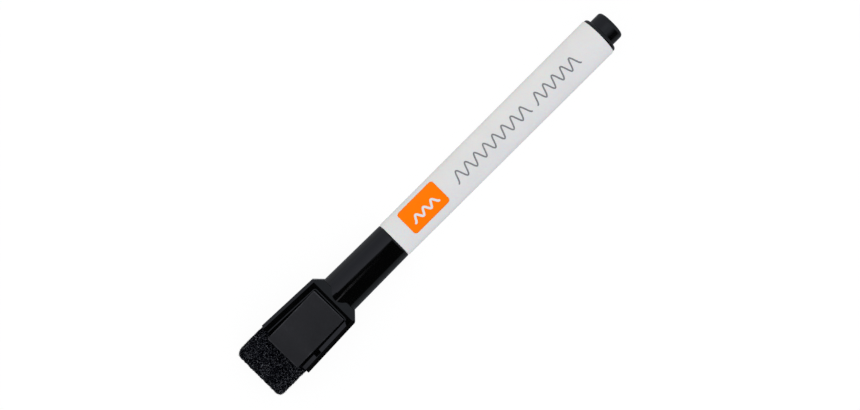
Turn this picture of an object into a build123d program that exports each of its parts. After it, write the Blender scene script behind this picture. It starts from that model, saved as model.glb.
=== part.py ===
"""Slim dry-wipe marker whose cap carries a felt eraser and a magnet.

The pen lies along X with its magnet face up. The eraser end is at -X and the
tail plug at +X. The origin is under the middle of the marker, on the plane
that the flat back of the cap's eraser holder rests on. Sizes are millimetres.
Stations along the pen are given from the eraser end, as on a drawing, and
at() turns a station into the part's X.
"""
from build123d import *
import os

os.makedirs("parts", exist_ok=True)

# Overall
LENGTH = 131.0
AXIS_HEIGHT = 5.75
OVERRUN = 1.0  # how far a cutting shape runs past the surface that it cuts

# Stations from the eraser end
HOLDER_FRONT = 9.88
HOLDER_CORNER = 27.6
SHOULDER_END = 29.87
CAP_MOUTH = 50.16
BARREL_FRONT = 50.22
BARREL_REAR = 126.05
COLLAR_REAR = 127.1

# Eraser holder, the flat box at the closed end of the cap
HOLDER_HALF_FRONT = 8.67
HOLDER_HALF_REAR = 8.0
HOLDER_HEIGHT = 11.6
TOP_BEVEL = 0.84
BACK_BEVEL = 0.6
SHOULDER_DROP = 0.9
SHOULDER_ROUND = 0.5
EDGE_ROUND = 0.18
SOCKET_WALL = 0.8
SOCKET_BACK = 1.0
SOCKET_ROOF = 9.35
SOCKET_FLOOR = 27.0

# Magnet tray in the top of the holder
TRAY_DEPTH = 1.4
TRAY_LAND = 0.3
TRAY_SLOPE_WIDTH = 1.07
TRAY_SLOPE_DROP = 0.35
TRAY_BEAD_WIDTH = 0.27
TRAY_BEAD_RISE = 0.15
TRAY_REAR = 27.35
TRAY_REAR_SLOPE = 0.6
TRAY_MOUTH_CORNER = 2.0
TRAY_FOOT_CORNER = 0.7
TRAY_RECESS_CORNER = 0.5
TRAY_NOTCH_START = 14.3
TRAY_NOTCH_LENGTH = 1.8
TRAY_NOTCH_REACH = 0.95

# Magnet and its adhesive tape
MAGNET_FRONT = 8.75
MAGNET_LENGTH = 17.37
MAGNET_WIDTH = 10.85
MAGNET_THICK = 1.5
MAGNET_SKEW = 0.9
MAGNET_OFFSET = -0.08
MAGNET_CORNER = 0.25
MAGNET_CHAMFER = 0.15
TAPE_THICK = 0.15
TAPE_INSET = 0.3

# Felt eraser block
FELT_HALF = 8.25
FELT_LOW = 0.55
FELT_HIGH = 10.2
FELT_CORNER = 1.2
FELT_TONGUE_END = 26.6
ADHESIVE_MARGIN = 1.2

# Cap sleeve and its cavity
SLEEVE_R_HOLDER = 5.65
SLEEVE_R_MOUTH = 5.40
SLEEVE_R_ROOT = 4.15
SLEEVE_ROOT_END = HOLDER_CORNER + 0.2
MOUTH_ROUND = 0.4
CAP_BORE_R = 4.3
CAP_BORE_END = 28.6
FIT_GAP = 0.05

# Inner cap, the soft cup that seals round the nozzle
INNER_CAP_LIP = 41.0
INNER_CAP_WALL = 0.6
INNER_CAP_FLOOR = 0.8
INNER_CAP_END_GAP = 0.1
INNER_CAP_LEAD = 0.3

# Barrel
BARREL_R_FRONT = 5.48
BARREL_R_REAR = 5.67
BARREL_BORE_R = 4.72
BARREL_BORE_FRONT = 51.6
BARREL_BORE_CONE = 1.0
BARREL_EDGE_ROUND = 0.12
NECK_R = CAP_BORE_R - FIT_GAP
NECK_FRONT = 41.6
NECK_BORE_R = 3.3
NECK_CHAMFER = 0.4

# Nozzle
NOZZLE_SEAL_R = CAP_BORE_R - 2 * FIT_GAP - INNER_CAP_WALL
NOZZLE_SEAL_FRONT = 38.2
NOZZLE_TIP = 34.9
NOZZLE_TIP_R = 2.15
NOZZLE_TIP_CHAMFER = 0.25
NOZZLE_PLUG_END = 47.6
NOZZLE_PLUG_LEAD = 0.5
NOZZLE_PLUG_STEP = 0.3
NIB_R = 1.5
NOZZLE_VENT_R = 0.35
NOZZLE_VENT_OFFSET = NIB_R + 0.1

# Nib and ink reservoir
NIB_TIP = 31.4
NIB_REAR = 55.8
NIB_REAR_R = 0.9
NIB_ROUND = 1.27
RESERVOIR_FRONT = 53.0
RESERVOIR_REAR = 118.2
RESERVOIR_R = 4.3
FILM_THICK = 0.1

# End plug
COLLAR_R = 5.47
COLLAR_ROUND = 0.7
TAIL_R = 4.25
TAIL_ROUND = 0.95
TAIL_WALL = 1.4
TAIL_BACK_ROUND = 0.15
PLUG_FRONT = 119.2
PLUG_WALL = 1.0
PLUG_LEAD = 0.8
PLUG_LEAD_STEP = 0.4

PARTS = {}


def at(station):
    """X of a station measured from the eraser end."""
    return station - LENGTH / 2


def ring(station_radius_pairs):
    """Solid of revolution on the pen axis from its closed half-outline, given as stations and radii."""
    points = [(at(station), radius) for station, radius in station_radius_pairs]
    outline = make_face(Polyline(*points, close=True))
    return revolve(Plane.XZ * outline, Axis.X).translate((0, 0, AXIS_HEIGHT))


def rod(start, end, radius):
    """Round rod on the pen axis between two stations."""
    return ring([(start, 0), (end, 0), (end, radius), (start, radius)])


def prism(points, plane, low, high):
    """Straight prism of a closed outline between two distances along the plane's normal."""
    return extrude(plane * make_face(Polyline(*points, close=True)), high - low).translate(plane.z_dir * low)


def holder_half(station, inset=0.0):
    """Half width of the tapering holder at a station, less an inset."""
    share = (station - HOLDER_FRONT) / (HOLDER_CORNER - HOLDER_FRONT)
    return HOLDER_HALF_FRONT + share * (HOLDER_HALF_REAR - HOLDER_HALF_FRONT) - inset


def edges_near(shape, station, tolerance=0.01):
    """Edges whose centre lies at a station."""
    return [edge for edge in shape.edges() if abs(edge.center().X - at(station)) < tolerance]


def bevel_section(station):
    """Cross-section that bevels the holder: its slopes run on past the top, the back and the sides."""
    half = holder_half(station)
    right = [
        (half - BACK_BEVEL - OVERRUN, -OVERRUN),
        (half + OVERRUN, BACK_BEVEL + OVERRUN),
        (half + OVERRUN, HOLDER_HEIGHT - TOP_BEVEL - OVERRUN),
        (half - TOP_BEVEL - OVERRUN, HOLDER_HEIGHT + OVERRUN),
    ]
    left = [(-y, z) for y, z in reversed(right)]
    plane = Plane(origin=(at(station), 0, 0), x_dir=(0, 1, 0), z_dir=(1, 0, 0))
    return plane * make_face(Polyline(*right, *left, close=True))


def holder_block():
    """Outer form of the eraser holder: bevelled box with a hipped end towards the sleeve."""
    plan = [
        (at(HOLDER_FRONT), holder_half(HOLDER_FRONT)),
        (at(HOLDER_CORNER), holder_half(HOLDER_CORNER)),
        (at(SHOULDER_END), SLEEVE_R_HOLDER),
    ]
    plan += [(x, -y) for x, y in reversed(plan)]
    side = [
        (at(HOLDER_FRONT), 0),
        (at(HOLDER_CORNER), 0),
        (at(SHOULDER_END), SHOULDER_DROP),
        (at(SHOULDER_END), HOLDER_HEIGHT - SHOULDER_DROP),
        (at(HOLDER_CORNER), HOLDER_HEIGHT),
        (at(HOLDER_FRONT), HOLDER_HEIGHT),
    ]
    bevelled = loft([bevel_section(HOLDER_FRONT - OVERRUN), bevel_section(SHOULDER_END + OVERRUN)], ruled=True)
    from_above = prism(plan, Plane.XY, 0, HOLDER_HEIGHT)
    from_side = prism(side, Plane.XZ, -HOLDER_HALF_FRONT, HOLDER_HALF_FRONT)
    block = bevelled & from_above & from_side
    rear_rim = [edge for edge in edges_near(block, SHOULDER_END) if abs(edge.tangent_at(0.5).Y) > 0.99]
    block = fillet(rear_rim, SHOULDER_ROUND)
    return fillet(block.edges(), EDGE_ROUND)


def felt_socket():
    """Pocket that opens at the holder's front end and grips the felt's tongue."""
    mouth = HOLDER_FRONT - OVERRUN
    outline = [
        (at(mouth), holder_half(mouth, SOCKET_WALL)),
        (at(SOCKET_FLOOR), holder_half(SOCKET_FLOOR, SOCKET_WALL)),
    ]
    outline += [(x, -y) for x, y in reversed(outline)]
    return prism(outline, Plane.XY, SOCKET_BACK, SOCKET_ROOF)


def tray_cut():
    """Space of the magnet tray, open at the front end.

    Its walls slope down to a low bead, and inside the bead a straight-sided recess holds the magnet.
    One of the two long slopes has a notch through it.
    """
    floor = HOLDER_HEIGHT - TRAY_DEPTH
    foot = HOLDER_HEIGHT - TRAY_SLOPE_DROP
    front = HOLDER_FRONT - OVERRUN

    def tray_face(inset, rear, corner, height):
        outline = [
            (at(front), holder_half(front, inset)),
            (at(rear), holder_half(rear, inset)),
        ]
        outline += [(x, -y) for x, y in reversed(outline)]
        face = make_face(Polyline(*outline, close=True))
        rear_corners = face.vertices().sort_by(Axis.X)[-2:]
        return Plane.XY.offset(height) * fillet(rear_corners, corner)

    mouth_inset = TOP_BEVEL + TRAY_LAND
    slope_inset = mouth_inset + TRAY_SLOPE_WIDTH
    bead_inset = slope_inset + TRAY_BEAD_WIDTH
    slope_rear = TRAY_REAR - TRAY_REAR_SLOPE
    bead_rear = slope_rear - TRAY_BEAD_WIDTH
    mouth_top = tray_face(mouth_inset, TRAY_REAR, TRAY_MOUTH_CORNER, HOLDER_HEIGHT)
    slope_foot = tray_face(slope_inset, slope_rear, TRAY_FOOT_CORNER, foot)
    bead_top = tray_face(bead_inset, bead_rear, TRAY_RECESS_CORNER, foot + TRAY_BEAD_RISE)
    recess_floor = tray_face(bead_inset, bead_rear, TRAY_RECESS_CORNER, floor)
    mouth = loft([slope_foot, mouth_top], ruled=True)
    bead = loft([slope_foot, bead_top], ruled=True)
    cut = mouth - bead + extrude(recess_floor, TRAY_DEPTH)
    notch_outer = -holder_half(TRAY_NOTCH_START, slope_inset - TRAY_NOTCH_REACH)
    notch_inner = -holder_half(TRAY_NOTCH_START, bead_inset + TRAY_NOTCH_REACH)
    notch = [
        (at(TRAY_NOTCH_START), notch_inner),
        (at(TRAY_NOTCH_START), notch_outer),
        (at(TRAY_NOTCH_START + TRAY_NOTCH_LENGTH), notch_outer),
        (at(TRAY_NOTCH_START + TRAY_NOTCH_LENGTH), notch_inner),
    ]
    cut += prism(notch, Plane.XY, floor, HOLDER_HEIGHT + OVERRUN)
    return cut


def cap_body():
    """Holder, hipped shoulder and tapered sleeve of the cap in one moulding."""
    block = holder_block() - felt_socket() - tray_cut()
    sleeve = ring([
        (SOCKET_FLOOR, 0),
        (CAP_MOUTH, 0),
        (CAP_MOUTH, SLEEVE_R_MOUTH),
        (SHOULDER_END, SLEEVE_R_HOLDER),
        (SLEEVE_ROOT_END, SLEEVE_R_HOLDER),
        (SOCKET_FLOOR, SLEEVE_R_ROOT),
    ])
    sleeve = fillet(edges_near(sleeve, CAP_MOUTH), MOUTH_ROUND)
    return block + sleeve - rod(CAP_BORE_END, CAP_MOUTH + OVERRUN, CAP_BORE_R)


def inner_cap():
    """Soft cup pressed into the cap's cavity, which keeps the nozzle airtight."""
    outer = CAP_BORE_R - FIT_GAP
    inner = outer - INNER_CAP_WALL
    closed = CAP_BORE_END + INNER_CAP_END_GAP
    return ring([
        (closed, 0),
        (closed, outer - INNER_CAP_LEAD),
        (closed + INNER_CAP_LEAD, outer),
        (INNER_CAP_LIP, outer),
        (INNER_CAP_LIP, inner + INNER_CAP_LEAD),
        (INNER_CAP_LIP - 2 * INNER_CAP_LEAD, inner),
        (closed + INNER_CAP_FLOOR, inner),
        (closed + INNER_CAP_FLOOR, 0),
    ])


def eraser_felt():
    """Felt block: the exposed pad and the narrower tongue squeezed into the holder's socket."""
    pad_outline = [(0, -FELT_HALF), (HOLDER_FRONT, -FELT_HALF), (HOLDER_FRONT, FELT_HALF), (0, FELT_HALF)]
    pad = prism([(at(x), y) for x, y in pad_outline], Plane.XY, FELT_LOW, FELT_HIGH)
    pad = fillet(edges_near(pad, 0), FELT_CORNER)
    tongue_front = HOLDER_FRONT - OVERRUN
    tongue_outline = [
        (at(tongue_front), holder_half(tongue_front, SOCKET_WALL)),
        (at(FELT_TONGUE_END), holder_half(FELT_TONGUE_END, SOCKET_WALL)),
    ]
    tongue_outline += [(x, -y) for x, y in reversed(tongue_outline)]
    return pad + prism(tongue_outline, Plane.XY, SOCKET_BACK, SOCKET_ROOF)


def felt_adhesive():
    """Flattened dab of hot-melt between the felt's tongue and the socket floor."""
    half_width = holder_half(SOCKET_FLOOR, SOCKET_WALL + ADHESIVE_MARGIN)
    dab = [
        (at(FELT_TONGUE_END), -half_width),
        (at(SOCKET_FLOOR), -half_width),
        (at(SOCKET_FLOOR), half_width),
        (at(FELT_TONGUE_END), half_width),
    ]
    return prism(dab, Plane.XY, SOCKET_BACK + ADHESIVE_MARGIN, SOCKET_ROOF - ADHESIVE_MARGIN)


def magnet_plate(inset, low, high, corner):
    """Rounded rectangular plate on the magnet's footprint."""
    centre = (at(MAGNET_FRONT + MAGNET_LENGTH / 2), MAGNET_OFFSET, low)
    footprint = RectangleRounded(MAGNET_LENGTH - 2 * inset, MAGNET_WIDTH - 2 * inset, corner)
    return extrude(Location(centre, (0, 0, MAGNET_SKEW)) * footprint, high - low)


def magnet_tape():
    """Double-sided tape under the magnet, as long as the tray allows."""
    floor = HOLDER_HEIGHT - TRAY_DEPTH
    plate = magnet_plate(TAPE_INSET, floor, floor + TAPE_THICK, MAGNET_CORNER)
    over_tray = Location((at(HOLDER_FRONT) + LENGTH / 2, 0, floor)) * Box(LENGTH, LENGTH, LENGTH)
    return plate & over_tray


def magnet():
    """Flat plastic-bonded ferrite plate that stands just above the holder's rails."""
    low = HOLDER_HEIGHT - TRAY_DEPTH + TAPE_THICK
    plate = magnet_plate(0, low, low + MAGNET_THICK, MAGNET_CORNER)
    return chamfer(plate.edges().group_by(Axis.Z)[-1], MAGNET_CHAMFER)


def barrel():
    """Tapered tube with the narrow neck that the cap slides over."""
    outer = ring([
        (NECK_FRONT, 0),
        (BARREL_REAR, 0),
        (BARREL_REAR, BARREL_R_REAR),
        (BARREL_FRONT, BARREL_R_FRONT),
        (BARREL_FRONT, NECK_R),
        (NECK_FRONT + NECK_CHAMFER, NECK_R),
        (NECK_FRONT, NECK_R - NECK_CHAMFER),
    ])
    rims = [edge for edge in edges_near(outer, BARREL_FRONT) if edge.radius > CAP_BORE_R]
    outer = fillet(rims + edges_near(outer, BARREL_REAR), BARREL_EDGE_ROUND)
    bore = ring([
        (NECK_FRONT - OVERRUN, 0),
        (BARREL_REAR + OVERRUN, 0),
        (BARREL_REAR + OVERRUN, BARREL_BORE_R),
        (BARREL_BORE_FRONT + BARREL_BORE_CONE, BARREL_BORE_R),
        (BARREL_BORE_FRONT, NECK_BORE_R),
        (NECK_FRONT - OVERRUN, NECK_BORE_R),
    ])
    return outer - bore


def nozzle():
    """Nib holder pressed into the neck: seal land, cone and a bore for the nib."""
    body = ring([
        (NOZZLE_TIP, 0),
        (NOZZLE_PLUG_END, 0),
        (NOZZLE_PLUG_END, NECK_BORE_R - NOZZLE_PLUG_STEP),
        (NOZZLE_PLUG_END - NOZZLE_PLUG_LEAD, NECK_BORE_R),
        (NECK_FRONT, NECK_BORE_R),
        (NECK_FRONT, NOZZLE_SEAL_R),
        (NOZZLE_SEAL_FRONT, NOZZLE_SEAL_R),
        (NOZZLE_TIP + NOZZLE_TIP_CHAMFER, NOZZLE_TIP_R),
        (NOZZLE_TIP, NOZZLE_TIP_R - NOZZLE_TIP_CHAMFER),
    ])
    hole_front = NOZZLE_TIP - OVERRUN
    hole_rear = NOZZLE_PLUG_END + OVERRUN
    body -= rod(hole_front, hole_rear, NIB_R)
    vent = rod(hole_front, hole_rear, NOZZLE_VENT_R)
    for side in (1, -1):
        body -= vent.translate((0, side * NOZZLE_VENT_OFFSET, 0))
    return body


def nib():
    """Pressed-fibre bullet nib with a tapered rear end that feeds from the reservoir."""
    shaft = ring([
        (NIB_TIP, 0),
        (NIB_REAR, 0),
        (NIB_REAR, NIB_REAR_R),
        (RESERVOIR_FRONT, NIB_R),
        (NIB_TIP, NIB_R),
    ])
    return fillet(edges_near(shaft, NIB_TIP), NIB_ROUND)


def ink_reservoir():
    """Fibre stick that holds the ink, with the dent the nib presses into it."""
    stick = rod(RESERVOIR_FRONT, RESERVOIR_REAR, RESERVOIR_R)
    dent = ring([
        (RESERVOIR_FRONT, 0),
        (NIB_REAR, 0),
        (NIB_REAR, NIB_REAR_R),
        (RESERVOIR_FRONT, NIB_R),
    ])
    return stick - dent


def reservoir_film():
    """Thin film wrapped round the reservoir."""
    return ring([
        (RESERVOIR_FRONT, RESERVOIR_R),
        (RESERVOIR_REAR, RESERVOIR_R),
        (RESERVOIR_REAR, RESERVOIR_R + FILM_THICK),
        (RESERVOIR_FRONT, RESERVOIR_R + FILM_THICK),
    ])


def end_plug():
    """Plug that closes the barrel: pressed-in skirt, collar, and the tail that the cap posts on."""
    body = ring([
        (PLUG_FRONT, 0),
        (LENGTH, 0),
        (LENGTH, TAIL_R),
        (COLLAR_REAR, TAIL_R),
        (COLLAR_REAR, COLLAR_R),
        (BARREL_REAR, COLLAR_R),
        (BARREL_REAR, BARREL_BORE_R),
        (PLUG_FRONT + PLUG_LEAD, BARREL_BORE_R),
        (PLUG_FRONT, BARREL_BORE_R - PLUG_LEAD_STEP),
    ])
    outer_rim = [edge for edge in edges_near(body, COLLAR_REAR) if edge.radius > TAIL_R + TAIL_BACK_ROUND]
    body = fillet(outer_rim, COLLAR_ROUND)
    root = [edge for edge in edges_near(body, COLLAR_REAR) if edge.radius < TAIL_R + TAIL_BACK_ROUND]
    body = fillet(root, TAIL_BACK_ROUND)
    body = fillet(edges_near(body, LENGTH), TAIL_ROUND)
    return body - rod(PLUG_FRONT - OVERRUN, LENGTH - TAIL_WALL, TAIL_R - PLUG_WALL)


PARTS["barrel"] = barrel()
PARTS["nozzle"] = nozzle()
PARTS["nib"] = nib()
PARTS["ink_reservoir"] = ink_reservoir()
PARTS["reservoir_film"] = reservoir_film()
PARTS["end_plug"] = end_plug()
PARTS["cap_body"] = cap_body()
PARTS["inner_cap"] = inner_cap()
PARTS["eraser_felt"] = eraser_felt()
PARTS["felt_adhesive"] = felt_adhesive()
PARTS["magnet"] = magnet()
PARTS["magnet_tape"] = magnet_tape()

for node, shape in PARTS.items():
    export_step(shape, f"parts/{node}.step")
    print(node, round(shape.volume, 2))
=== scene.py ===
import math
import random

import bmesh
import bpy
from mathutils import Matrix, Vector, noise


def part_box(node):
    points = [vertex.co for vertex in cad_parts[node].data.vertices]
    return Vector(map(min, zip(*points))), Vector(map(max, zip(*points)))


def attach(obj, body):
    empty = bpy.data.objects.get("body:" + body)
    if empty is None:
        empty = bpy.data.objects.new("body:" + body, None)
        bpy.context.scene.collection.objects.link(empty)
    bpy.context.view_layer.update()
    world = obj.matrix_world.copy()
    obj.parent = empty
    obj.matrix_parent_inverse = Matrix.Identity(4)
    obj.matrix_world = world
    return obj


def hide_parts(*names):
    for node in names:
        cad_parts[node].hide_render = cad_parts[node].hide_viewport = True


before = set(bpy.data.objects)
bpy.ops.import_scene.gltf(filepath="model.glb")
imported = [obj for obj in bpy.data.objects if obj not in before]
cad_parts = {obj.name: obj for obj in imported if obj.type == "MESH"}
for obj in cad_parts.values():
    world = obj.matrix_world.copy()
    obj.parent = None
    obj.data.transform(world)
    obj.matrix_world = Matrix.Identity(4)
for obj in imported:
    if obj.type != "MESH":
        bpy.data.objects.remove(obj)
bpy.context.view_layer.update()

MM = 0.001
rng = random.Random(7)

# ---------------------------------------------------------------- places and sizes

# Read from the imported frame. +X runs from the eraser to the tail, +Z out of the magnet
CAP_LOW, CAP_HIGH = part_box("cap_body")
BARREL_LOW, BARREL_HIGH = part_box("barrel")
FELT_LOW, FELT_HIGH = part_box("eraser_felt")
MAGNET_LOW, MAGNET_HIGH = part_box("magnet")
ERASER_END = FELT_LOW.x
HOLDER_FRONT = CAP_LOW.x
CAP_MOUTH = CAP_HIGH.x
AXIS_Z = (BARREL_LOW.z + BARREL_HIGH.z) / 2

# Barrel surface, which the prints lie on
BARREL_FRONT = CAP_MOUTH + 0.06 * MM
BARREL_REAR = BARREL_HIGH.x
BARREL_R_FRONT = 5.48 * MM
BARREL_R_REAR = 5.67 * MM

# Magnet: how far it is askew in its box, how far in from its edges the painted highlight reaches, how much of
# the short edges' painted highlight the long ones have, and how much the painted highlight lightens
MAGNET_SKEW = math.radians(0.9)
MAGNET_HIGHLIGHT_REACH = 0.4 * MM
LONG_EDGE_HIGHLIGHT = 0.7
EDGE_HIGHLIGHT_STRENGTH = 0.7

# Printed films, from under the barrel's surface to above it. The badge's stroke lies on its ink
FILM_ROOT = -0.03 * MM
FILM_LIFT = 0.02 * MM
OVERPRINT_LIFT = 0.03 * MM

# Badge: arcs are distances round the barrel from its top line
BADGE_START = ERASER_END + 55.1 * MM
BADGE_LENGTH = 12.85 * MM
BADGE_ARC_LOW = -3.15 * MM
BADGE_ARC_HIGH = 5.0 * MM
BADGE_CORNER = 1.0 * MM
BADGE_CORNER_STEPS = 10
BADGE_MIDDLE_STEPS = 12

# Drawn waves. The grey ones: their names, where each starts, its length and its number of crests
BADGE_WAVE_MARGIN = 2.2 * MM
BADGE_WAVE_CRESTS = 3
BADGE_WAVE_HEIGHT = 1.7 * MM
BADGE_WAVE_STROKE = 0.62 * MM
GREY_WAVES = (
    ("stroke_sample_long", ERASER_END + 72.5 * MM, 26.9 * MM, 8),
    ("stroke_sample_short", ERASER_END + 101.6 * MM, 15.9 * MM, 5),
)
GREY_WAVE_HEIGHT = 3.1 * MM
GREY_WAVE_STROKE = 0.42 * MM
WAVE_STEPS = 24
ROUND_END_STEPS = 6

# Felt: size of its mesh cells, and the radii of its edges in X, Y and Z
FELT_CELL = 0.16 * MM
FELT_ROUND = Vector((1.8, 1.8, 0.5)) * MM
# Its tongue in the holder's socket
TONGUE_LENGTH = 3 * MM
TONGUE_HALF = 7.8 * MM
TONGUE_LOW = 1.05 * MM
TONGUE_HIGH = 9.3 * MM
SOCKET_CLEARANCE = 0.05 * MM
# How far the pad leans and bows to the +Y side, how far its skin is pressed in, and its slack at each side
FELT_LEAN = 0.1 * MM
FELT_BOW = 0.14 * MM
FELT_PRESSED = 0.1 * MM
FELT_SLACK = 0.17 * MM
# Lumps of its skin: scale per metre, shift, octaves and depth of each fractal noise
FRACTAL_H, LACUNARITY = 1.0, 2.0
FELT_LUMPS = (
    (260, Vector((0, 0, 0)), 1, 0.14 * MM),
    (900, Vector((0, 0, 0)), 2, 0.12 * MM),
    (2400, Vector((7, 3, 1)), 2, 0.10 * MM),
)
# The lumps are full this far in front of the holder, and flatten to this share inside it
LUMPS_FADE = 0.8 * MM
LUMPS_HELD = 0.3

# Fibres over the felt: name, number, range of lengths and range of radii
FIBRE_SORTS = (
    ("felt_fibres", 4200, (0.3 * MM, 1.1 * MM), (0.012 * MM, 0.024 * MM)),
    ("felt_tufts", 6200, (0.2 * MM, 0.55 * MM), (0.035 * MM, 0.075 * MM)),
)
FIBRE_SEGMENTS = 4
FIBRE_SIDES = 3
# Their room in front of the holder, most bend per length, and greatest rise, which ends before the tip
FIBRE_CLEARANCE = 0.4 * MM
FIBRE_BEND = 0.6
FIBRE_RISE = 0.07 * MM
FIBRE_RISE_RATE = 1.15
# How deep they start, how far they are lifted, and how they taper from their thickest place
FIBRE_ROOT = 0.03 * MM
FIBRE_LIFT = 0.02 * MM
FIBRE_THICKEST = 0.4
FIBRE_TAPER = 1.5
FIBRE_R_LEAST = 0.003 * MM

# Points of a mesh that are closer than this are one
WELD = 0.0001 * MM

# ---------------------------------------------------------------- colours and light

# Tones of a pattern, as stops of its place in the pattern and its colour
BARREL_TONES = ((0.3, (0.69, 0.69, 0.685)), (0.7, (0.72, 0.72, 0.712)))
# Magnet tones; the palest stop is mostly reached where the edges' painted highlight is added
FERRITE_TONES = (
    (0.15, (0.011, 0.0112, 0.0138)),
    (0.8, (0.0158, 0.016, 0.0195)),
    (1.0, (0.04, 0.0405, 0.047)),
)
FELT_BLACK = (0.0003, 0.0004, 0.0010)
WOOL_TONES = ((0.0, FELT_BLACK), (0.45, (0.010, 0.011, 0.015)), (1.0, (0.085, 0.09, 0.105)))
FIBRE_TONES = ((0.5, FELT_BLACK), (0.74, (0.013, 0.014, 0.018)), (0.96, (0.2, 0.205, 0.23)))
FILM_TONES = ((0.3, 0.45), (0.7, 0.6))
# Dark and light tone of the adhesive behind the felt
ADHESIVE_TONES = ((0.5, 0.45, 0.3), (0.6, 0.55, 0.4))

# Inks: main tone and worn tone
ORANGE_INK = ((0.98, 0.186, 0.0005), (0.94, 0.175, 0.001))
WHITE_INK = ((0.72, 0.72, 0.73), (0.68, 0.68, 0.69))
GREY_INK = ((0.205, 0.208, 0.218), (0.23, 0.233, 0.24))

# Large panel, which lies where a direction's dot product with this is positive
PANEL_SIDE = (0.96, 0.275, -0.068)
PANEL_STOPS = (
    (0.0, (0.010, 0.011, 0.012)),
    (0.02, (0.66, 0.68, 0.80)),
    (0.06, (0.60, 0.62, 0.73)),
    (0.22, (0.44, 0.46, 0.55)),
    (0.6, (0.40, 0.44, 0.50)),
)
# Small lights beside the panel: colour, then lowest, highest and softness of the direction's X and of its Y
SMALL_LIGHTS = (
    ((0.62, 0.61, 0.66), (-0.11, -0.005, 0.002), (-0.245, -0.17, 0.03)),
    ((0.60, 0.65, 0.75), (0.10, 0.30, 0.03), (-0.38, 0.15, 0.45)),
)
# Dome for matt surfaces, from the -Y side to the +Y side
DOME_STOPS = ((0.0, (1.03, 1.045, 1.13)), (1.0, (1.085, 1.075, 1.035)))
BACKDROP = (0.93, 0.93, 0.93)

# Floor: half its side, its height, and its own tone and glow
FLOOR_HALF = 3.0
FLOOR_Z = -0.02 * MM
TABLE_TONE = (0.06, 0.06, 0.06)
TABLE_GLOW = 0.945
# Floor as glossy surfaces see it, from far out on the -Y side to just past the marker. Its tones are painted
# light: dark far out on the -Y side and lighter past the marker, as if lit from the +Y side
PAPER_FAR = -150 * MM
PAPER_NEAR = 25 * MM
PAPER_LIGHT_STOPS = (
    (0.0, (0.03, 0.032, 0.034)),
    (0.6, (0.19, 0.205, 0.22)),
    (0.8, (0.19, 0.205, 0.22)),
    (1.0, (0.36, 0.37, 0.40)),
)

# Camera. Stations are along the pen from the eraser's end, sides are across it. Lens and sensor are in mm
PEN_ANGLE = math.radians(44.92)
CAMERA_DISTANCE = 609 * MM
CAMERA_STATION = 50.3 * MM
CAMERA_SIDE = 7.5 * MM
AIM_STATION = 63.3 * MM
AIM_SIDE = -0.1 * MM
LENS = 96.9
SENSOR = 36
CLIP_NEAR, CLIP_FAR = 0.01, 20

# ---------------------------------------------------------------- node graphs

# Sockets of a colour Mix node, by number because several share a name
MIX_FACTOR, MIX_FIRST, MIX_SECOND, MIX_RESULT = 0, 6, 7, 2


class Graph:
    """A node tree under construction, with short calls for the nodes this scene uses."""

    def __init__(self, tree):
        self.tree = tree

    def feed(self, socket, value):
        """Gives a socket a plain value or a link."""
        if isinstance(value, bpy.types.NodeSocket):
            self.tree.links.new(value, socket)
        else:
            socket.default_value = value

    def node(self, kind, inputs=None, **settings):
        """Adds a node: inputs are values or links by socket name or number, settings its own choices."""
        made = self.tree.nodes.new("ShaderNode" + kind)
        for name, value in settings.items():
            setattr(made, name, value)
        for name, value in (inputs or {}).items():
            self.feed(made.inputs[name], value)
        return made

    def calc(self, operation, *values):
        """Result of a Math node."""
        return self.node("Math", dict(enumerate(values)), operation=operation).outputs["Value"]

    def remap(self, value, low, high, from_low=0.3, from_high=0.7):
        """Straight line from low at from_low to high at from_high, held level outside."""
        inputs = {"Value": value, "From Min": from_low, "From Max": from_high, "To Min": low, "To Max": high}
        return self.node("MapRange", inputs).outputs["Result"]

    def ramp(self, value, stops):
        """Colour ramp through stops of (position, grey or colour)."""
        made = self.node("ValToRGB", {"Fac": value})
        elements = made.color_ramp.elements
        while len(elements) < len(stops):
            elements.new(1)
        for element, (position, tone) in zip(elements, stops):
            element.position = position
            element.color = (*tone, 1) if isinstance(tone, tuple) else (tone, tone, tone, 1)
        return made.outputs["Color"]

    def split(self, vector):
        """Outputs X, Y and Z of a vector."""
        return self.node("SeparateXYZ", {"Vector": vector}).outputs


class Shader(Graph):
    """A principled material under construction, whose patterns lie in object coordinates."""

    def __init__(self, name):
        self.material = bpy.data.materials.new(name)
        self.material.use_nodes = True
        super().__init__(self.material.node_tree)
        self.bsdf = self.tree.nodes["Principled BSDF"]
        self.place = self.node("TexCoord").outputs["Object"]

    def scaled(self, x, y, z):
        """Object coordinates stretched per axis, so that a pattern can run along the pen."""
        return self.node("Mapping", {"Vector": self.place, "Scale": (x, y, z)}).outputs["Vector"]

    def noise(self, scale, detail=4.0, roughness=0.6, vector=None, distortion=0.0):
        """Noise pattern with its scale per metre."""
        inputs = {
            "Vector": vector or self.place,
            "Scale": scale,
            "Detail": detail,
            "Roughness": roughness,
            "Distortion": distortion,
        }
        return self.node("TexNoise", inputs).outputs["Fac"]

    def bump(self, height, depth):
        """Normal from a height field, whose full scale is depth in metres."""
        made = self.node("Bump", {"Height": height, "Distance": depth, "Strength": 1.0})
        self.feed(self.bsdf.inputs["Normal"], made.outputs["Normal"])

    def set(self, **sockets):
        """Plain values or links for the Principled sockets, named with underscores."""
        for name, value in sockets.items():
            self.feed(self.bsdf.inputs[name.replace("_", " ")], value)


# ---------------------------------------------------------------- finishes


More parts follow.
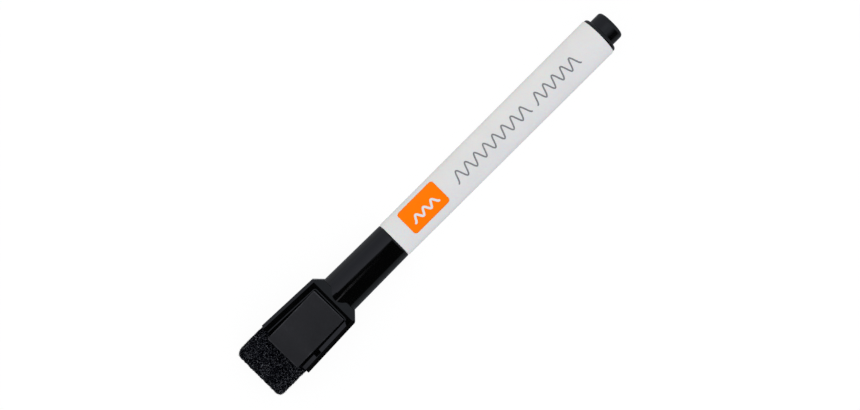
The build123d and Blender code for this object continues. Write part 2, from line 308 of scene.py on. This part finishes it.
def black_polypropylene(name, dark, light, roughness):
    """Polished black plastic: faint flow mottling, fine lengthwise scratches and a trace of grain."""
    s = Shader(name)
    flow = s.noise(260, detail=3, vector=s.scaled(0.5, 1, 1))
    scratches = s.noise(5200, detail=2, roughness=0.5, vector=s.scaled(0.03, 1, 1))
    grain = s.noise(2600, detail=3)
    dulled = s.remap(scratches, 0, 0.04, 0.55, 0.75)
    gloss = s.calc("ADD", dulled, s.remap(flow, roughness * 0.8, roughness * 1.25))
    s.set(Base_Color=s.ramp(flow, ((0.35, dark), (0.7, light))), Roughness=gloss, IOR=1.49)
    s.bump(s.calc("ADD", grain, s.remap(scratches, 0, 0.25, 0.55, 0.8)), 0.0012 * MM)
    return s.material


def white_polypropylene():
    """Satin white barrel: nearly even, with a very soft mottle and fine lengthwise drawing marks."""
    s = Shader("barrel_white")
    mottle = s.noise(120, detail=3)
    drawing = s.noise(2400, detail=2, vector=s.scaled(0.02, 1, 1))
    s.set(Base_Color=s.ramp(mottle, BARREL_TONES), Roughness=s.remap(drawing, 0.3, 0.4), IOR=1.49)
    s.set(Subsurface_Weight=0.15, Subsurface_Scale=0.8 * MM)
    s.bump(s.calc("ADD", drawing, s.noise(1500, detail=3)), 0.0015 * MM)
    return s.material


def printing_ink(name, base, worn, specular=0.5):
    """Screen-printed ink: an even film with fine grain and slightly worn patches."""
    s = Shader(name)
    grain = s.noise(3800, detail=4)
    body = s.noise(400, detail=2)
    tint = s.ramp(s.calc("ADD", s.remap(grain, 0, 0.5), s.remap(body, 0, 0.5)), ((0.1, worn), (0.45, base)))
    s.set(Base_Color=tint, Roughness=s.remap(grain, 0.42, 0.55), IOR=1.47, Specular_IOR_Level=specular)
    s.bump(grain, 0.002 * MM)
    return s.material


def painted_edge_highlight(s, low, high, skew, reach):
    """Painted highlight on a plate's edges: highest on the short edges of a plate that lies askew in its box,
    falling to 0 at some reach inside.
    """
    centre = (low + high) / 2
    size = high - low
    about_centre = {"Vector": s.place, "Center": centre, "Angle": -skew}
    parts = s.split(s.node("VectorRotate", about_centre, rotation_type="Z_AXIS").outputs["Vector"])
    half_x = (size.x - size.y * math.sin(skew)) / 2
    half_y = (size.y - size.x * math.sin(skew)) / 2
    bands = []
    for axis, middle, half, most in (("X", centre.x, half_x, 1), ("Y", centre.y, half_y, LONG_EDGE_HIGHLIGHT)):
        off = s.calc("ABSOLUTE", s.calc("ADD", parts[axis], -middle))
        bands.append(s.remap(off, 0, most, half - reach, half))
    return s.calc("MAXIMUM", *bands)


def pressed_ferrite():
    """Matt magnet plate: dark grey with fine sintered grain, faint rubbed patches and edges painted paler as
    a highlight.
    """
    s = Shader("ferrite")
    grain = s.noise(6500, detail=5, roughness=0.7)
    rub = s.noise(170, detail=4, vector=s.scaled(1, 0.6, 1), distortion=0.4)
    mix = s.calc("ADD", s.remap(grain, 0, 0.45), s.remap(rub, 0, 0.55))
    # Painted highlight: the edges are lightened where their chamfers would catch the light
    worn = painted_edge_highlight(s, MAGNET_LOW, MAGNET_HIGH, MAGNET_SKEW, MAGNET_HIGHLIGHT_REACH)
    tint = s.ramp(s.calc("ADD", mix, s.calc("MULTIPLY", worn, EDGE_HIGHLIGHT_STRENGTH)), FERRITE_TONES)
    s.set(Base_Color=tint, Roughness=s.remap(rub, 0.62, 0.78), IOR=1.5, Specular_IOR_Level=0.35)
    s.bump(grain, 0.012 * MM)
    return s.material


def strand_lines(s, scale, shift):
    """Thin curly lines like single fibres: where a twisted noise crosses its middle value."""
    offset = (shift, 2 * shift, 3 * shift)
    shifted = s.node("VectorMath", {0: s.place, 1: offset}, operation="ADD").outputs["Vector"]
    field = s.noise(scale, detail=1, vector=shifted, distortion=1.6)
    off_middle = s.calc("ABSOLUTE", s.calc("ADD", field, -0.5))
    return s.remap(off_middle, 1, 0, 0, 0.05)


def felt_wool():
    """Body of the felt: near-black matted fibre, light only where curly strands catch the light."""
    s = Shader("felt_wool")
    strands = s.calc("MAXIMUM", strand_lines(s, 1700, 0.013), strand_lines(s, 2300, 0.029))
    broken = s.noise(2900, detail=2, roughness=0.6)
    clumps = s.remap(broken, 0, 1, 0.5, 0.64)
    lit = s.calc("ADD", s.calc("MULTIPLY", strands, 0.5), s.calc("MULTIPLY", clumps, 0.5))
    lit = s.calc("MULTIPLY", lit, s.remap(broken, 0, 1, 0.44, 0.6))
    s.set(Base_Color=s.ramp(lit, WOOL_TONES), Roughness=0.95, Specular_IOR_Level=0.0)
    s.bump(s.calc("ADD", strands, broken), 0.06 * MM)
    return s.material


def felt_fibre():
    """Single fibres over the felt: each has a tone of its own, mostly black and a few of them grey."""
    s = Shader("felt_fibre")
    own = s.node("NewGeometry").outputs["Random Per Island"]
    along = s.noise(2600, detail=2)
    tint = s.ramp(s.calc("ADD", own, s.remap(along, -0.12, 0.12)), FIBRE_TONES)
    s.set(Base_Color=tint, Roughness=s.remap(along, 0.6, 0.8), Specular_IOR_Level=0.05)
    return s.material


def plain_moulding(name, dark, light, roughness, subsurface=0.0):
    """Unpolished moulded plastic with a fine even texture."""
    s = Shader(name)
    tint = s.ramp(s.noise(300, detail=4), ((0.35, dark), (0.7, light)))
    grain = s.noise(4200, detail=3)
    s.set(Base_Color=tint, Roughness=s.remap(grain, roughness, roughness + 0.12))
    s.set(Subsurface_Weight=subsurface, Subsurface_Scale=0.5 * MM)
    s.bump(grain, 0.004 * MM)
    return s.material


def ink_fibre(name, dark, light):
    """Bundled fibre soaked with ink: fine grain along the pen."""
    s = Shader(name)
    strands = s.noise(3600, detail=3, vector=s.scaled(0.06, 1, 1))
    s.set(Base_Color=s.ramp(strands, ((0.35, dark), (0.7, light))), Roughness=s.remap(strands, 0.55, 0.8))
    s.bump(strands, 0.02 * MM)
    return s.material


def wrapped_film():
    """Pale film with lengthwise wrinkles."""
    s = Shader("clear_film")
    wrinkles = s.noise(1200, detail=3, vector=s.scaled(0.05, 1, 1))
    s.set(Base_Color=s.ramp(wrinkles, FILM_TONES), Roughness=s.remap(wrinkles, 0.12, 0.3))
    s.bump(wrinkles, 0.02 * MM)
    return s.material


def paint(node, material):
    """Gives a carried-over CAD node its finish."""
    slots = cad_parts[node].data.materials
    slots.clear()
    slots.append(material)


# ---------------------------------------------------------------- meshes


def mesh_piece(name, vertices, faces, material, body):
    """A named piece from vertices and faces, closed and smooth shaded, riding on a body."""
    mesh = bpy.data.meshes.new(name)
    mesh.from_pydata([tuple(v) for v in vertices], [], faces)
    shape = bmesh.new()
    shape.from_mesh(mesh)
    bmesh.ops.remove_doubles(shape, verts=shape.verts, dist=WELD)
    bmesh.ops.dissolve_degenerate(shape, edges=shape.edges, dist=WELD)
    bmesh.ops.recalc_face_normals(shape, faces=shape.faces)
    shape.to_mesh(mesh)
    shape.free()
    mesh.materials.append(material)
    mesh.shade_smooth()
    piece = bpy.data.objects.new(name, mesh)
    bpy.context.scene.collection.objects.link(piece)
    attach(piece, body)
    return piece


def on_barrel(x, arc, lift):
    """Point on the barrel: arc is the distance round it from the top line, lift the height above it."""
    share = (x - BARREL_FRONT) / (BARREL_REAR - BARREL_FRONT)
    radius = BARREL_R_FRONT + share * (BARREL_R_REAR - BARREL_R_FRONT)
    turn = arc / radius
    return Vector((x, math.sin(turn) * (radius + lift), AXIS_Z + math.cos(turn) * (radius + lift)))


def printed_film(name, columns, material, lift=FILM_LIFT, across=16):
    """Closed thin film on the barrel. columns are ((x, arc) on one edge, (x, arc) on the other)."""
    vertices, faces = [], []
    for level in (lift, FILM_ROOT):
        for (x_low, arc_low), (x_high, arc_high) in columns:
            for i in range(across + 1):
                k = i / across
                x = x_low + (x_high - x_low) * k
                vertices.append(on_barrel(x, arc_low + (arc_high - arc_low) * k, level))
    row = across + 1
    under = len(columns) * row
    for c in range(len(columns) - 1):
        for i in range(across):
            a = c * row + i
            faces.append((a, a + row, a + row + 1, a + 1))
            faces.append((under + a, under + a + 1, under + a + row + 1, under + a + row))
        for i in (0, across):
            a = c * row + i
            side = (a, under + a, under + a + row, a + row)
            faces.append(side if i else side[::-1])
    for c in (0, len(columns) - 1):
        for i in range(across):
            a = c * row + i
            end = (a, a + 1, under + a + 1, under + a)
            faces.append(end if c else end[::-1])
    return mesh_piece(name, vertices, faces, material, "pen")


# ---------------------------------------------------------------- prints


def badge_columns():
    """Rounded rectangle as columns across the pen."""
    steps = BADGE_CORNER_STEPS
    corner = [BADGE_CORNER * (1 - math.cos(math.pi / 2 * i / steps)) for i in range(steps + 1)]
    straight = BADGE_LENGTH - 2 * BADGE_CORNER
    middle = [BADGE_CORNER + straight * i / BADGE_MIDDLE_STEPS for i in range(1, BADGE_MIDDLE_STEPS)]
    columns = []
    for x in corner + middle + [BADGE_LENGTH - x for x in reversed(corner)]:
        into = max(BADGE_CORNER - x, x - (BADGE_LENGTH - BADGE_CORNER), 0)
        cut = BADGE_CORNER - math.sqrt(max(BADGE_CORNER**2 - into**2, 0))
        columns.append(((BADGE_START + x, BADGE_ARC_LOW + cut), (BADGE_START + x, BADGE_ARC_HIGH - cut)))
    return columns


def round_end(point, out, side):
    """Columns that carry a ribbon on in a half circle, from its end at a point to the tip."""
    columns = []
    for i in range(1, ROUND_END_STEPS + 1):
        turn = math.pi / 2 * i / ROUND_END_STEPS
        middle = point + out * math.sin(turn)
        reach = side * math.cos(turn)
        columns.append((tuple(middle - reach), tuple(middle + reach)))
    return columns


def stroke_columns(points, width):
    """Ribbon of even width with round ends along a line of (x, arc) points."""
    half = width / 2
    line = [Vector(p) for p in points]
    columns = []
    for i, p in enumerate(line):
        along = (line[min(i + 1, len(line) - 1)] - line[max(i - 1, 0)]).normalized()
        side = Vector((-along.y, along.x)) * half
        columns.append((tuple(p - side), tuple(p + side)))
    before = (line[0] - line[1]).normalized() * half
    after = (line[-1] - line[-2]).normalized() * half
    first = round_end(line[0], before, Vector((before.y, -before.x)))
    last = round_end(line[-1], after, Vector((-after.y, after.x)))
    return first[::-1] + columns + last


def wave(start, length, crests, height):
    """Line of (x, arc) points of a drawn wave along the pen."""
    points = []
    steps = crests * WAVE_STEPS
    for i in range(steps + 1):
        k = i / steps
        points.append((start + length * k, -height / 2 * math.cos(2 * math.pi * crests * k)))
    return points


def prints():
    """Orange badge with a white wave drawn on it, and two grey waves behind it."""
    orange = printing_ink("print_orange", *ORANGE_INK, specular=0.03)
    white = printing_ink("print_white", *WHITE_INK)
    grey = printing_ink("print_grey", *GREY_INK)
    printed_film("badge", badge_columns(), orange)
    start = BADGE_START + BADGE_WAVE_MARGIN
    length = BADGE_LENGTH - 2 * BADGE_WAVE_MARGIN
    stroke = stroke_columns(wave(start, length, BADGE_WAVE_CRESTS, BADGE_WAVE_HEIGHT), BADGE_WAVE_STROKE)
    printed_film("badge_stroke", stroke, white, lift=OVERPRINT_LIFT, across=6)
    for name, start, length, crests in GREY_WAVES:
        stroke = stroke_columns(wave(start, length, crests, GREY_WAVE_HEIGHT), GREY_WAVE_STROKE)
        printed_film(name, stroke, grey, across=4)


# ---------------------------------------------------------------- felt


def box_grid(low, high, cell):
    """Vertices and quads of a box's surface, divided evenly."""
    size = high - low
    cells = [max(2, round(size[i] / cell)) for i in range(3)]
    index, vertices, faces = {}, [], []

    def corner(key):
        if key not in index:
            index[key] = len(vertices)
            vertices.append(Vector([low[i] + size[i] * key[i] / cells[i] for i in range(3)]))
        return index[key]

    for axis in range(3):
        u, v = (axis + 1) % 3, (axis + 2) % 3
        for end in (0, cells[axis]):
            for a in range(cells[u]):
                for b in range(cells[v]):
                    quad = []
                    for da, db in ((0, 0), (1, 0), (1, 1), (0, 1)):
                        key = [0, 0, 0]
                        key[axis], key[u], key[v] = end, a + da, b + db
                        quad.append(corner(tuple(key)))
                    faces.append(tuple(quad if end else reversed(quad)))
    return vertices, faces


def rounded(place, centre, half, radii):
    """Moves a point of a box's surface to the rounded box, and gives the direction out of it."""
    q = place - centre
    inner = Vector([max(-half[i] + radii[i], min(half[i] - radii[i], q[i])) for i in range(3)])
    out = Vector([(q[i] - inner[i]) / radii[i] for i in range(3)]).normalized()
    return centre + inner + Vector([out[i] * radii[i] for i in range(3)]), out


def felt_block():
    """Matted felt pad: a rounded block, a little askew and bowed, whose skin is lumpy at three scales.

    Behind the holder's front end it narrows to the tongue in the holder's socket.
    """
    low = Vector((FELT_LOW.x, FELT_LOW.y + FELT_SLACK, FELT_LOW.z))
    high = Vector((HOLDER_FRONT + TONGUE_LENGTH, FELT_HIGH.y - FELT_SLACK, FELT_HIGH.z))
    vertices, faces = box_grid(low, high, FELT_CELL)
    centre = (low + high) / 2
    pad_length = HOLDER_FRONT - ERASER_END
    for n, p in enumerate(vertices):
        p, out = rounded(p, centre, (high - low) / 2, FELT_ROUND)
        push = -FELT_PRESSED
        for scale, shift, octaves, depth in FELT_LUMPS:
            push += noise.fractal(p * scale + shift, FRACTAL_H, LACUNARITY, octaves) * depth
        free = min(1.0, max(0.0, (HOLDER_FRONT - p.x) / LUMPS_FADE))
        p += out * push * (LUMPS_HELD + (1 - LUMPS_HELD) * free)
        along = min(1.0, max(0.0, (p.x - ERASER_END) / pad_length))
        p.y += FELT_LEAN + FELT_BOW * math.sin(math.pi * along)
        if p.x > HOLDER_FRONT - SOCKET_CLEARANCE:
            p.y = max(-TONGUE_HALF, min(TONGUE_HALF, p.y))
            p.z = max(TONGUE_LOW, min(TONGUE_HIGH, p.z))
        vertices[n] = p
    felt = mesh_piece("felt_block", vertices, faces, felt_wool(), "cap")
    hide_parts("eraser_felt")
    return felt


def felt_fibres(name, felt, material, count, lengths, radii):
    """Loose fibres lying over the felt, each a thin tapered tube that bends back to the surface."""
    polygons = [p for p in felt.data.polygons if p.center.x < HOLDER_FRONT - FIBRE_CLEARANCE]
    vertices, faces = [], []
    for _ in range(count):
        polygon = polygons[rng.randrange(len(polygons))]
        normal = polygon.normal
        along = normal.orthogonal().normalized()
        along.rotate(Matrix.Rotation(rng.uniform(0, 2 * math.pi), 3, normal))
        bend = normal.cross(along) * rng.uniform(-FIBRE_BEND, FIBRE_BEND)
        length = rng.uniform(*lengths)
        rise = rng.uniform(0.0, FIBRE_RISE)
        thickest = rng.uniform(*radii)
        start = polygon.center - normal * FIBRE_ROOT
        base = len(vertices)
        for i in range(FIBRE_SEGMENTS + 1):
            k = i / FIBRE_SEGMENTS
            place = start + along * length * k + bend * length * k * k
            place += normal * (rise * math.sin(math.pi * min(1.0, k * FIBRE_RISE_RATE)) + FIBRE_LIFT)
            radius = max(thickest * (1 - FIBRE_TAPER * abs(k - FIBRE_THICKEST)), FIBRE_R_LEAST)
            direction = (along + bend * 2 * k).normalized()
            side = direction.cross(normal).normalized()
            for corner in range(FIBRE_SIDES):
                turn = 2 * math.pi * corner / FIBRE_SIDES
                vertices.append(place + (side * math.cos(turn) + normal * math.sin(turn)) * radius)
        for i in range(FIBRE_SEGMENTS):
            for corner in range(FIBRE_SIDES):
                a = base + i * FIBRE_SIDES + corner
                b = base + i * FIBRE_SIDES + (corner + 1) % FIBRE_SIDES
                faces.append((a, b, b + FIBRE_SIDES, a + FIBRE_SIDES))
        last = base + FIBRE_SEGMENTS * FIBRE_SIDES
        faces.append(tuple(reversed(range(base, base + FIBRE_SIDES))))
        faces.append(tuple(range(last, last + FIBRE_SIDES)))
    mesh_piece(name, vertices, faces, material, "cap")


# ---------------------------------------------------------------- studio


def floor():
    """Pale light-table floor, which glossy surfaces see as paper with the marker's shadow on it and painted
    light, lighter towards the +Y side.
    """
    mesh = bpy.data.meshes.new("floor")
    signs = ((-1, -1), (1, -1), (1, 1), (-1, 1))
    mesh.from_pydata([(x * FLOOR_HALF, y * FLOOR_HALF, FLOOR_Z) for x, y in signs], [], [(0, 1, 2, 3)])
    piece = bpy.data.objects.new("floor", mesh)
    bpy.context.scene.collection.objects.link(piece)
    s = Shader("floor")
    s.set(Base_Color=(*TABLE_TONE, 1), Specular_IOR_Level=0)
    s.set(Emission_Color=(1, 1, 1, 1), Emission_Strength=TABLE_GLOW)
    # Painted light: the paper's tone rises from dark far out on the -Y side to light on the +Y side
    across = s.remap(s.split(s.place)["Y"], 0, 1, PAPER_FAR, PAPER_NEAR)
    paper = s.node("BsdfDiffuse", {"Color": s.ramp(across, PAPER_LIGHT_STOPS)})
    glossy = s.node("LightPath").outputs["Is Glossy Ray"]
    choose = s.node("MixShader", {"Fac": glossy, 1: s.bsdf.outputs["BSDF"], 2: paper.outputs["BSDF"]})
    s.feed(s.tree.nodes["Material Output"].inputs["Surface"], choose.outputs["Shader"])
    s.material.cycles.emission_sampling = "NONE"
    mesh.materials.append(s.material)


def band(studio, value, low, high, soft):
    """1 where a value lies between two limits, falling off softly outside them."""
    rise = studio.remap(value, 0, 1, low - soft, low)
    fall = studio.remap(value, 0, 1, high + soft, high)
    return studio.calc("MULTIPLY", rise, fall)


def panel_light(studio, direction):
    """What glossy surfaces mirror: a big panel, brightest at its near edge, small lights and a dark room."""
    into_panel = studio.node("VectorMath", {0: direction, 1: PANEL_SIDE}, operation="DOT_PRODUCT")
    seen = studio.ramp(into_panel.outputs["Value"], PANEL_STOPS)
    parts = studio.split(direction)
    for colour, x_range, y_range in SMALL_LIGHTS:
        inside = studio.calc(
            "MULTIPLY", band(studio, parts["X"], *x_range), band(studio, parts["Y"], *y_range)
        )
        inputs = {MIX_FACTOR: inside, MIX_FIRST: seen, MIX_SECOND: (*colour, 1)}
        seen = studio.node("Mix", inputs, data_type="RGBA").outputs[MIX_RESULT]
    return studio.node("Background", {"Color": seen})


def dome_light(studio, direction):
    """Even light for matt surfaces, a little cooler from the -Y side."""
    side = studio.remap(studio.split(direction)["Y"], 0, 1, -1, 1)
    dome = studio.tree.nodes["Background"]
    studio.feed(dome.inputs["Color"], studio.ramp(side, DOME_STOPS))
    return dome


def sky():
    """Soft studio: an even dome for matt surfaces, the panel for glossy ones and a pale backdrop."""
    world = bpy.data.worlds.new("studio")
    bpy.context.scene.world = world
    world.use_nodes = True
    world.cycles.sampling_method = "NONE"
    studio = Graph(world.node_tree)
    direction = studio.node("TexCoord").outputs["Generated"]
    backdrop = studio.node("Background", {"Color": (*BACKDROP, 1)})
    rays = studio.node("LightPath").outputs
    lit = dome_light(studio, direction)
    for ray, shader in (("Is Glossy Ray", panel_light(studio, direction)), ("Is Camera Ray", backdrop)):
        lit = studio.node("MixShader", {"Fac": rays[ray], 1: lit.outputs[0], 2: shader.outputs[0]})
    studio.feed(studio.tree.nodes["World Output"].inputs["Surface"], lit.outputs[0])


def camera():
    """Camera almost straight above, rolled so that the pen runs up to the right."""
    data = bpy.data.cameras.new("camera")
    data.lens = LENS
    data.sensor_width = SENSOR
    data.clip_start, data.clip_end = CLIP_NEAR, CLIP_FAR
    cam = bpy.data.objects.new("camera", data)
    bpy.context.scene.collection.objects.link(cam)
    place = Vector((ERASER_END + CAMERA_STATION, CAMERA_SIDE, AXIS_Z + CAMERA_DISTANCE))
    aim = Vector((ERASER_END + AIM_STATION, AIM_SIDE, AXIS_Z))
    back = (place - aim).normalized()
    up = Vector((math.sin(PEN_ANGLE), math.cos(PEN_ANGLE), 0))
    right = up.cross(back).normalized()
    up = back.cross(right)
    turn = Matrix((right, up, back)).transposed()
    cam.matrix_world = Matrix.Translation(place) @ turn.to_4x4()
    bpy.context.scene.camera = cam


# ---------------------------------------------------------------- assembly

camera()
floor()
sky()
bpy.context.scene.view_settings.view_transform = "Standard"

paint("cap_body", black_polypropylene("cap_black", 0.0006, 0.0012, 0.05))
paint("end_plug", black_polypropylene("plug_black", 0.0008, 0.0016, 0.16))
paint("barrel", white_polypropylene())
paint("magnet", pressed_ferrite())
paint("nozzle", plain_moulding("nozzle_black", 0.006, 0.01, 0.35))
paint("inner_cap", plain_moulding("seal_natural", 0.55, 0.62, 0.4, subsurface=0.3))
paint("nib", ink_fibre("nib_fibre", 0.004, 0.015))
paint("ink_reservoir", ink_fibre("reservoir_fibre", 0.01, 0.03))
paint("reservoir_film", wrapped_film())
paint("felt_adhesive", plain_moulding("adhesive", *ADHESIVE_TONES, 0.25, subsurface=0.3))
paint("magnet_tape", plain_moulding("adhesive_tape", 0.6, 0.7, 0.6))
prints()
felt = felt_block()
fibre_material = felt_fibre()
for name, count, lengths, radii in FIBRE_SORTS:
    felt_fibres(name, felt, fibre_material, count, lengths, radii)
